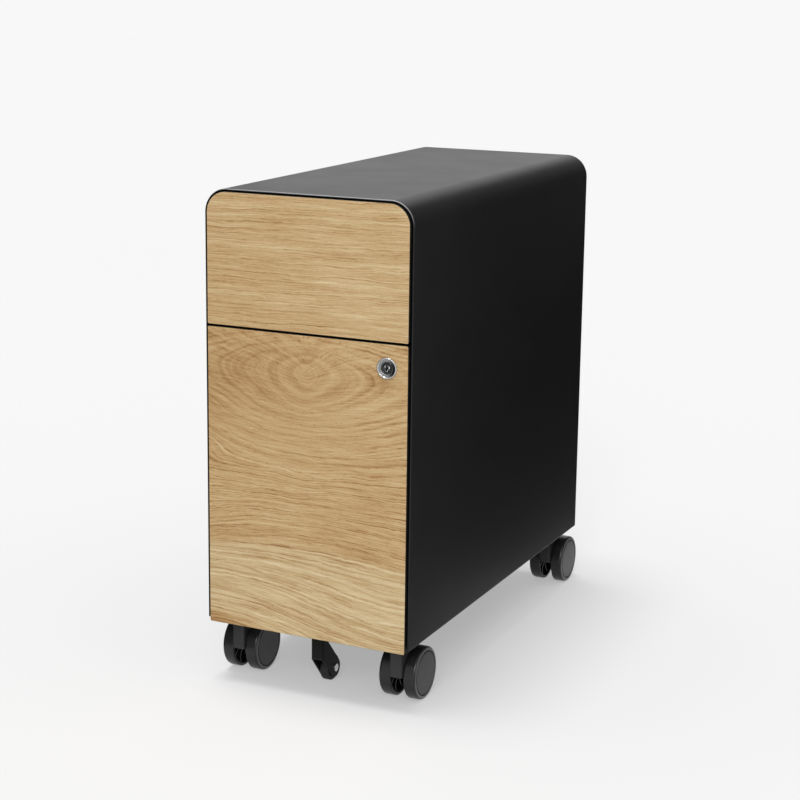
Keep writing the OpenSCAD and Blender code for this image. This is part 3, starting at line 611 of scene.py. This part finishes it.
def eye_figure(paint, x, z):
    """Rings round a knot, evenly spaced in the square of their size: they close into an eye with
    pointed ends, then open into bowls. Below come level lines, a crown, and from field_at a pale
    field whose lines, field_line apart, slope down to the right."""
    right, down = x - eye_x, eye_z - z

    # The squared size of a ring is that of its height, which counts one and a half times above
    # the knot, and a part for its width: pointed level with the knot, and round further off.
    tall = down.of("MAXIMUM", 0.0) + 1.5 * (-down).of("MAXIMUM", 0.0)
    pointed = 27.0 * ((right * right + 100.0).of("SQRT") - 10.0) * (1.0 - 0.0012 * right)
    spread = (0.49 - 0.0006 * right) * right
    wide = pointed + (spread * spread - pointed) * paint.ease(abs(down), 20.0, 75.0)
    rings = (tall * tall + wide) / ring_area

    # Further down, the lines arch in a crown over the field, sag a little left of the middle,
    # and slope down to the right, ever more steeply. They take over from the rings by degrees.
    level = right / half_front
    crown = (11.0 - 3.0 * level) * level * level * paint.hump(down, field_at, 34.0)
    sag = 6.0 * paint.hump(right, -8.0, 24.0) * paint.hump(down, 117.0, 24.0)
    slope = 38.0 * paint.ease(right, -120.0, 120.0) * paint.ease(down, 185.0, 300.0)
    low = down - crown - sag - slope
    above_field = low.of("MINIMUM", field_at)
    lines = (above_field * above_field / ring_area
             + (low - field_at).of("MAXIMUM", 0.0) / field_line)
    blend = paint.ease(down, 88.0, 130.0)
    phase = rings + (lines - rings) * blend + 0.71
    height = (rings * ring_area + 25.0).of("SQRT") * (1.0 - blend) + low * blend

    # Brown: the field's upper edge, a band in it, the board's lower left and the eye's right tip.
    # Warm: the upper left. Heart: the knot's own wood.
    field = paint.ease(low, 196.0, 214.0)
    foot = paint.ease(down, 290.0, 308.0) * (1.0 - paint.ease(x, -115.0, -40.0))
    tip = paint.hump(right, 94.0, 26.0) * paint.hump(down, 4.0, 9.0)
    brown = (0.55 * paint.hump(low, field_at, 9.0) + 1.1 * paint.hump(low, 272.0, 3.2)
             + 2.6 * foot + 0.9 * tip)
    warm = (1.0 - paint.ease(x, -110.0, 40.0)) * (1.0 - paint.ease(down, 20.0, 110.0))
    heart = paint.hump((right * right + 3.0 * down * down).of("SQRT"), 0.0, 46.0)
    tint = 0.05 * field - 0.13 * brown - 0.20 * warm - 0.10 * heart

    # The lines show faintly in the heart, and best below the eye and to its right.
    below = paint.ease(down, 60.0, 130.0)
    beside = paint.ease(right, 55.0, 95.0) * (1.0 - below)
    clear = (0.5 + 0.8 * below - 0.2 * field + 0.6 * beside) * (1.0 - 0.8 * heart)
    return phase, -height, tint, field * (1.0 - foot), clear


top_corner = 24.2 * MM
low_corner = 2.0 * MM
dark_sides_margin = 0.1 * MM
housing_low, housing_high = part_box("lock_housing")
lock_x = (housing_low.x + housing_high.x) / 2
lock_z = (housing_low.z + housing_high.z) / 2
lock_fit = 0.05 * MM
barrel_r = 9 * MM
lock_hole = np.array([lock_x, lock_z, barrel_r + lock_fit])
for name, figure, top_r, hole in (("box_drawer_front", straight_figure, top_corner, None),
                                  ("file_drawer_front", eye_figure, low_corner, lock_hole)):
    low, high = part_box(name)
    front = piece("oak_" + name, board(low, high, top_r, low_corner, hole),
                  oak(name + "_oak", figure), name)
    # Marks the board's sides, which are coloured near black.
    marked(front, "edging",
           lambda x, y, z: (y > low.y + dark_sides_margin) & (y < high.y - dark_sides_margin))


# The lock
# A cam lock from a locksmith's range: a die-cast housing with a dished face, polished
# and chrome plated, holding a turned plug with a keyway. The nut behind clamps it, and
# the cam on the plug's end drops behind the divider rail.

def turned(profile, centre, axis, steps=96):
    """A profile of radius and place along the axis, carried round that axis: the two ways across
    it are the radius times the cosine and times the sine of the turn."""
    turn = np.linspace(0, 2 * np.pi, steps, endpoint=False)
    radius, along = profile[:, 0][:, None], profile[:, 1][:, None]
    first, second = radius * np.cos(turn), radius * np.sin(turn)
    along = np.broadcast_to(along, first.shape)
    parts = {"x": (along, first, second), "y": (first, along, second)}[axis]
    return grid(np.stack(parts, -1) + np.array(centre), wrap=True)


def rounded_path(corners, radius, steps=4):
    """A path through corners with each inner one rounded. It leaves the straight a radius before
    the corner, meets it again a radius after, and goes between them as the quadratic curve of
    start, corner and end."""
    path = [corners[0]]
    for before, here, after in zip(corners, corners[1:], corners[2:]):
        back, on = before - here, after - here
        reach = min(radius, np.linalg.norm(back) / 2, np.linalg.norm(on) / 2)
        start = here + back / max(np.linalg.norm(back), 1e-12) * reach
        end = here + on / max(np.linalg.norm(on), 1e-12) * reach
        share = np.linspace(0, 1, steps)[:, None]
        path += list((1 - share) ** 2 * start + 2 * share * (1 - share) * here
                     + share ** 2 * end)
    return np.array(path + [corners[-1]])


lock_r = (housing_high.x - housing_low.x) / 2 + 0.5 * MM
face_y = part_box("file_drawer_front")[0].y
plug_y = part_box("lock_plug")[0].y
plug_r = 6 * MM


def lock_radius(paint, x, z):
    """How far a point lies from the lock's axis."""
    return ((x - lock_x) ** 2.0 + (z - lock_z) ** 2.0).of("SQRT")


def chrome_plate():
    """Plate that is bright on the rim and satin in the dish, with hair lines that run round the
    lock's axis."""
    paint = Paint("lock_chrome_plate", Metallic=1.0)
    x, y, z = paint.split(paint.where)
    off = lock_radius(paint, x, z)
    hair = paint.noise(paint.join(off * 9000.0, y * 9000.0, 0.0))
    smear = paint.noise(paint.where, 260.0)
    rim = paint.ease(off, lock_r - 2.6 * MM, lock_r - 2.0 * MM)
    dish = paint.mix(smear, (0.20, 0.205, 0.205), (0.34, 0.345, 0.34))
    return paint.set(
        Base_Color=paint.mix(rim, dish, (0.52, 0.52, 0.52)),
        Roughness=0.22 - 0.10 * rim + 0.10 * hair,
        Normal=paint.bump(hair, 0.004 * MM),
    )


def plug_metal():
    """Turned zinc alloy coloured near black, with round tool marks, and bright spots round the
    keyway: key wear and painted glints."""
    paint = Paint("lock_plug_metal", Metallic=1.0)
    x, y, z = paint.split(paint.where)
    off = lock_radius(paint, x, z)
    marks = paint.noise(paint.join(off * 5000.0, y * 100.0, 0.0), detail=1.0)
    dark_metal = paint.mix(marks, (0.012, 0.013, 0.013), (0.06, 0.065, 0.062))
    # Bright spots round the keyway: key wear and painted glints.
    spots = paint.ease(paint.noise(paint.where, 1000.0, 1.0), 0.53, 0.60)
    near_keyway = 1.0 - paint.ease(off, 3.4 * MM, 4.4 * MM)
    on_face = 1.0 - paint.ease(y, plug_y, plug_y + 0.6 * MM)
    bright = spots * near_keyway * on_face
    return paint.set(
        Base_Color=paint.mix(bright, dark_metal, (0.85, 0.85, 0.85)),
        Roughness=0.32 + 0.2 * marks - 0.1 * bright,
        Normal=paint.bump(marks, 0.01 * MM),
    )


def housing_profile():
    """Half of the housing cut through its axis, as radius and place behind the front's face, in
    millimetres until it is returned."""
    bore, barrel, face = (plug_r + lock_fit) / MM, barrel_r / MM, lock_r / MM
    out, deep = (housing_low.y - face_y) / MM, (housing_high.y - face_y) / MM
    corners = [
        (bore, deep), (bore, -0.3), (bore + 0.15, -0.5), (bore + 0.45, -0.5),  # bore and ring
        (bore + 0.5, 0.9), (bore + 1.15, 0.9), (bore + 1.25, -0.5),            # groove
        (bore + 1.75, -0.8), (face - 2.2, out + 0.8),                          # dish
        (face - 1.7, out), (face - 0.7, out), (face - 0.05, out + 1.0),        # rim
        (face, 0), (barrel, 0), (barrel, deep), (bore, deep),                  # barrel
    ]
    return rounded_path(np.array(corners) * MM, 0.3 * MM)


piece("lock_face", [turned(housing_profile(), (lock_x, face_y, lock_z), "y")], chrome_plate(),
      "lock_housing")
softened("lock_plug", 0.15 * MM, plug_metal())
for name in ("lock_nut", "lock_cam"):
    softened(name, 0.2 * MM, zinc_turned)


# The casters
# Each is a nylon body that turns on a steel stem under its plate, with two moulded
# wheels pushed onto one steel axle. The wheels are open and ribbed on the inside, and
# their outer faces have a fine groove round a flat centre.

def moulded(name, tone, roughness, shine, rim=None):
    """Moulded nylon: a matt grain from the tool, and paler scuffs that come and go. Where the
    mesh is marked as rim it takes that tone: a painted highlight."""
    paint = Paint(name, Specular_IOR_Level=shine)
    grain = paint.noise(paint.where, 1600.0, 1.0)
    scuff = paint.noise(paint.where, 60.0, 4.0, 0.6)
    colour = paint.mix(scuff * 0.7 + grain * 0.3, *shades(tone, 0.93, 1.08))
    if rim:
        # Painted highlight on the marked rim.
        colour = paint.mix(paint.mark("rim") * (0.8 + 0.4 * scuff), colour, srgb(*rim))
    return paint.set(
        Base_Color=colour,
        Roughness=roughness + 0.12 * (scuff - 0.5),
        Normal=paint.bump(grain, 0.02 * MM),
    )


body_nylon = moulded("caster_body_nylon", (46, 46, 47), 0.5, 0.4)
# The wheels' paler ring on the chamfer of the outer side is a painted highlight.
wheel_nylon = moulded("caster_wheel_nylon", (31, 31, 32), 0.33, 0.40, rim=(92, 92, 93))
wheel_r = 31.25
rib_count = 10
highlight_ring_radius, highlight_ring_out = 26.8 * MM, 14.2 * MM  # where the pale ring on the outer side begins


def wheel_profile():
    """Half of the wheel cut through its axis, as radius and distance from the inner side, in
    millimetres until it is returned."""
    corners = [
        (0, 10.8), (3.05, 10.8), (3.05, 0),                              # blind bore
        (7.6, 0), (8.2, 11.6), (27.2, 11.6), (27.9, 0),                  # hub, web and rim inside
        (wheel_r - 0.6, 0), (wheel_r, 0.9), (wheel_r, 12.2),             # tread
        (wheel_r - 0.5, 13.6), (29.9, 14.5), (28.4, 14.9), (26.9, 15),   # crowned shoulder
        (26.6, 13.4), (25.7, 13.4), (25.4, 14.6),                        # groove
        (24.9, 14.8), (0, 14.8),                                         # flat centre
    ]
    return rounded_path(np.array(corners) * MM, 0.45 * MM)


def rib(turn):
    """A web from hub to rim, 1.6 mm thick: its cross-section carried out along the radius. Its
    open edge lies back from the wheel's inner side by 2.2 mm, and by 2 mm more halfway, as half a
    sine wave does. The whole is then turned round the axle."""
    along = np.linspace(7.8, 27.5, 9) * MM
    sunk = (2.2 + 2.0 * np.sin(np.linspace(0, np.pi, 9))) * MM
    half, web = 0.8 * MM, 12.2 * MM
    across, into = np.array([(-half, 0), (half, 0), (half, 1), (-half, 1)]).T
    depth = sunk[:, None] * (1 - into) + web * into
    out = np.broadcast_to(along[:, None], depth.shape)
    return np.stack([depth, out * np.cos(turn) - across * np.sin(turn),
                     out * np.sin(turn) + across * np.cos(turn)], -1)


def wheel(centre, way):
    """The turned form and its ribs, set against the body with the open side inwards. Way is 1
    where the wheel reaches to the right of its centre, and -1 to the left."""
    profile = wheel_profile() * (1, way)
    parts = [turned(profile, centre, "x", 112)]
    for number in range(rib_count):
        points = rib(2 * np.pi * number / rib_count) * (way, 1, 1) + np.array(centre)
        parts += [grid(points, wrap=True), lid(points[0]), lid(points[-1])]
    return parts


softened("caster_plates", 0.25 * MM, zinc_upright)
for place in ("front_left", "front_right", "rear_left", "rear_right"):
    softened(f"caster_body_{place}", 0.5 * MM, body_nylon)
    body_low, body_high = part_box(f"caster_body_{place}")
    middle = (body_low.x + body_high.x) / 2
    for side in ("outer", "inner"):
        node = f"caster_wheel_{place}_{side}"
        low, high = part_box(node)
        way = 1 if (low.x + high.x) / 2 > middle else -1
        inner_face = low.x if way > 0 else high.x
        hub_y, hub_z = (low.y + high.y) / 2, (low.z + high.z) / 2
        rolled = piece(f"wheel_{place}_{side}", wheel((inner_face, hub_y, hub_z), way),
                       wheel_nylon, node)
        # Marks the ring that carries the painted highlight.
        marked(rolled, "rim", lambda x, y, z: (np.hypot(y - hub_y, z - hub_z) > highlight_ring_radius)
               & (way * (x - inner_face) > highlight_ring_out))


# The fifth wheel
# A fork folded from 2 mm steel, screwed under the file drawer's box, with a small
# rubber-tyred wheel on a riveted pin. It keeps the cabinet from tipping over the open
# drawer.

fork_coat = powder_coat("fork_coat", (24, 24, 24), 0.5, satin_peel, shine=0.12)
tyre_rubber = moulded("black_rubber", (40, 40, 40), 0.6, 0.3)
softened("fifth_wheel_fork", 0.3 * MM, fork_coat)
softened("fifth_wheel", 0.4 * MM, tyre_rubber)


# The touch latches
# One behind each drawer, screwed to the back panel: a grey acetal body that holds a
# spring, and a plunger with a black rubber skin that the drawer's back meets.

latch_acetal = moulded("grey_acetal", (84, 84, 86), 0.4, 0.45)
for drawer in ("box", "file"):
    softened(f"{drawer}_latch_plunger", 0.4 * MM, tyre_rubber)
    softened(f"{drawer}_latch_body", 0.4 * MM, latch_acetal)


# The studio
# A plain pale floor that runs into the background, soft light from above and from the
# front, black cards that only reflections see, and the camera where the photograph was
# taken from.

floor_reach = 40.0
floor_tone = 0.45
floor_glow = 0.36
backdrop_white = 0.93
sky_light = 0.63


def seen(tree):
    """1 for rays from the camera, a mirror or a glass, and 0 for those that only carry light."""
    ways = ("Is Camera Ray", "Is Glossy Ray", "Is Transmission Ray")
    camera_ray, mirror, glass = (tree.node("LightPath", out=way) for way in ways)
    return camera_ray.of("MAXIMUM", mirror).of("MAXIMUM", glass)


def pale_floor():
    """It carries light as a mid grey, and shows near white to the camera and to mirrors. From
    below it is clear."""
    paint = Paint("pale_floor", Roughness=0.9, Specular_IOR_Level=0.0, Emission_Strength=1.0)
    cloud = paint.noise(paint.where, 0.6)
    glow = floor_glow * seen(paint)
    return paint.set(
        Base_Color=paint.mix(cloud, (floor_tone - 0.005,) * 3, (floor_tone + 0.005,) * 3),
        Emission_Color=paint.join(glow, glow, glow),
        Alpha=1.0 - paint.node("NewGeometry", out="Backfacing"),
    )


def stage_mesh(name, polygons, material):
    """Flat polygons that stand round the object and aren't part of it."""
    ends = np.cumsum([len(polygon) for polygon in polygons])
    faces = [list(range(end - len(polygon), end)) for polygon, end in zip(polygons, ends)]
    mesh = bpy.data.meshes.new(name)
    mesh.from_pydata([point for polygon in polygons for point in polygon], [], faces)
    mesh.materials.append(material)
    thing = bpy.data.objects.new(name, mesh)
    bpy.context.scene.collection.objects.link(thing)
    return thing


def card(name, *polygons):
    """A black card that only reflections see."""
    thing = stage_mesh(name, polygons, card_black)
    for ray in ("camera", "diffuse", "transmission", "volume_scatter", "shadow"):
        setattr(thing, "visible_" + ray, False)


def level_card(corners, z):
    """A polygon that lies flat at one height."""
    return [(x, y, z) for x, y in corners]


def upright_card(x, front, back, top):
    """A polygon that stands along the object's side, from the floor up."""
    return [(x, front, 0), (x, back, 0), (x, back, top), (x, front, top)]


floor_corners = [(-1, -1), (1, -1), (1, 1), (-1, 1)]
stage_mesh("floor", [[(x * floor_reach, y * floor_reach, 0) for x, y in floor_corners]],
           pale_floor())
card_black = Paint("card_black", Base_Color=(0.0, 0.0, 0.0, 1), Specular_IOR_Level=0.0).material
wall_x, wall_back = 0.46, 3.2
card("black_card",
     level_card([(0.16, -0.35), (wall_x, -0.35), (wall_x, wall_back), (0.19, wall_back),
                 (0.19, 0.32), (0.23, 0.12)], MM),
     [(wall_x, 0.0, MM), (wall_x, 0.0, 1.7), (wall_x, wall_back, 2.0), (wall_x, wall_back, MM)],
     [(wall_x, wall_back, 1.2), (-0.2, wall_back, 1.6), (-0.2, wall_back, 2.6),
      (wall_x, wall_back, 2.0)])
card("left_card", upright_card(-0.55, -1.4, 0.6, 0.7), upright_card(-0.2, -0.55, 0.4, 0.56))

world = bpy.data.worlds.new("studio")
bpy.context.scene.world = world
world.use_nodes = True
sky = Tree(world.node_tree)
background = sky.tree.nodes["Background"]
background.inputs["Color"].default_value = (1, 1, 1, 1)
sky_level = sky_light + (backdrop_white - sky_light) * seen(sky)
sky.tree.links.new(sky_level.socket, background.inputs["Strength"])


def sun(name, strength, spread, azimuth, elevation):
    """A distant lamp, in degrees: how widely its light spreads, and the azimuth, counted from the
    front to the right, and the elevation that it comes from."""
    data = bpy.data.lights.new(name, "SUN")
    data.energy, data.angle = strength, math.radians(spread)
    lamp = bpy.data.objects.new(name, data)
    lamp.rotation_euler = (math.radians(90 - elevation), 0, math.radians(azimuth))
    bpy.context.scene.collection.objects.link(lamp)


sun("key", strength=1.62, spread=22, azimuth=-70, elevation=82)
sun("fill", strength=0.8, spread=22, azimuth=18, elevation=34)

photo_px = 800
focal_px = 1906.3
centre_px = (370.4, 376.0)
camera_at = (0.9694, -2.1346, 0.8452)
yaw, pitch, roll = (math.radians(angle) for angle in (25.67, 12.48, 0.54))
camera_data = bpy.data.cameras.new("camera")
camera_data.lens = focal_px / photo_px * camera_data.sensor_width
camera_data.shift_x = (photo_px / 2 - centre_px[0]) / photo_px
camera_data.shift_y = (centre_px[1] - photo_px / 2) / photo_px
camera = bpy.data.objects.new("camera", camera_data)
camera.rotation_mode = "XYZ"
camera.matrix_world = (Matrix.Translation(camera_at) @ Matrix.Rotation(yaw, 4, "Z")
                       @ Matrix.Rotation(math.pi / 2 - pitch, 4, "X")
                       @ Matrix.Rotation(roll, 4, "Z"))
bpy.context.scene.collection.objects.link(camera)
bpy.context.scene.camera = camera
bpy.context.scene.view_settings.view_transform = "Standard"
